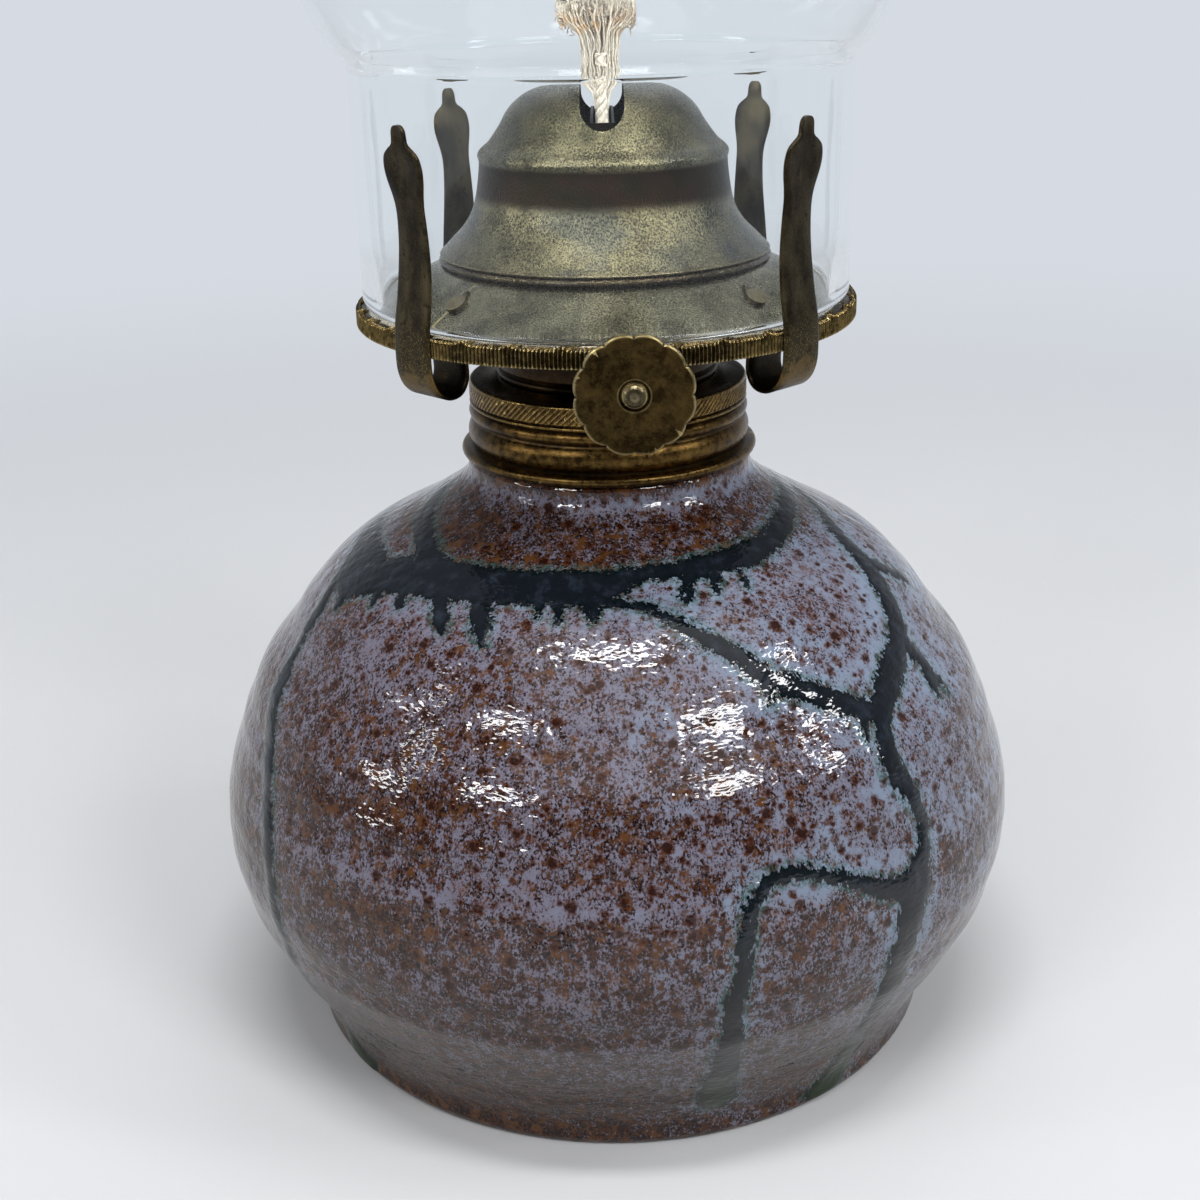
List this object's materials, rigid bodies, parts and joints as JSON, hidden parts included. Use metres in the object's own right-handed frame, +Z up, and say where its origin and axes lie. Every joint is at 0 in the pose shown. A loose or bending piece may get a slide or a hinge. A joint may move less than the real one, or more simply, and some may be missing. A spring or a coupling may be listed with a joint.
{
  "type": "stoneware oil lamp",
  "caption": "Squat glazed stoneware oil lamp with a brass collar, flat-wick burner with spring prongs and wick raiser, and a clear glass chimney.",
  "frame": {"origin": "centre of the foot ring, on the surface that the lamp stands on", "axes": "+Z up along the lamp's axis; -Y towards the thumb wheel, which the picture shows in front; +X to the right"},
  "size_m": [0.1352, 0.1352, 0.3396],
  "materials": {
    "stoneware": "glossy speckled pale lavender and brown glaze with dark green drips",
    "cement": "matt plaster",
    "aged_brass": "aged, rubbed bright on its edges",
    "dark_brass": "dark tarnish",
    "bright_brass": "worn bright",
    "satin_brass": "satin, greyed by heat",
    "cotton": "woven cotton, frayed at the top",
    "clear_glass": "clear and polished"
  },
  "bodies": {
    "font": {"stoneware_font": "stoneware", "collar_cement": "cement", "collar": "aged_brass"},
    "burner": {"burner_base": "dark_brass", "draft_plate": "dark_brass", "gallery": "aged_brass", "prong_rivets": "bright_brass", "deflector_dome": "satin_brass", "wick_tube": "dark_brass", "vent_tube": "dark_brass", "spur_housing": "dark_brass", "shaft_sleeve": "dark_brass"},
    "front_left_prong": {"prong_front_left": "aged_brass"},
    "front_right_prong": {"prong_front_right": "aged_brass"},
    "rear_left_prong": {"prong_rear_left": "aged_brass"},
    "rear_right_prong": {"prong_rear_right": "aged_brass"},
    "raiser": {"raiser_shaft": "aged_brass", "spur_wheel_front": "dark_brass", "spur_wheel_middle": "dark_brass", "spur_wheel_rear": "dark_brass", "thumb_wheel": "aged_brass"},
    "wick_strip": {"wick": "cotton"},
    "glass_chimney": {"chimney": "clear_glass"}
  },
  "joints": [
    {"name": "burner_lift", "type": "slide", "parent": "font", "child": "burner", "axis": [0, 0, 1], "range_m": [0, 0.115]},
    {"name": "chimney_lift", "type": "slide", "parent": "burner", "child": "glass_chimney", "axis": [0, 0, 1], "range_m": [0, 0.12]},
    {"name": "wick_raiser", "type": "hinge", "parent": "burner", "child": "raiser", "pos_m": [0.0036, 0, 0.1186], "axis": [0, 1, 0], "range_deg": [-26, 352]},
    {"name": "wick_slide", "type": "slide", "parent": "burner", "child": "wick_strip", "axis": [0, 0, 1], "range_m": [-0.001, 0.014]},
    {"name": "front_left_prong_flex", "type": "hinge", "parent": "burner", "child": "front_left_prong", "pos_m": [-0.02153, -0.0223, 0.1248], "axis": [0.7193, -0.6947, 0], "range_deg": [0, 3], "stiffness_Nm_per_rad": 2},
    {"name": "front_right_prong_flex", "type": "hinge", "parent": "burner", "child": "front_right_prong", "pos_m": [0.02153, -0.0223, 0.1248], "axis": [0.7193, 0.6947, 0], "range_deg": [0, 3], "stiffness_Nm_per_rad": 2},
    {"name": "rear_left_prong_flex", "type": "hinge", "parent": "burner", "child": "rear_left_prong", "pos_m": [-0.02074, 0.02304, 0.1248], "axis": [-0.7431, -0.6691, 0], "range_deg": [0, 3], "stiffness_Nm_per_rad": 2},
    {"name": "rear_right_prong_flex", "type": "hinge", "parent": "burner", "child": "rear_right_prong", "pos_m": [0.02074, 0.02304, 0.1248], "axis": [-0.7431, 0.6691, 0], "range_deg": [0, 3], "stiffness_Nm_per_rad": 2}
  ],
  "couplings": [
    {"joint": "wick_raiser", "follows": "wick_slide", "rad_per_m": 434.8}
  ]
}
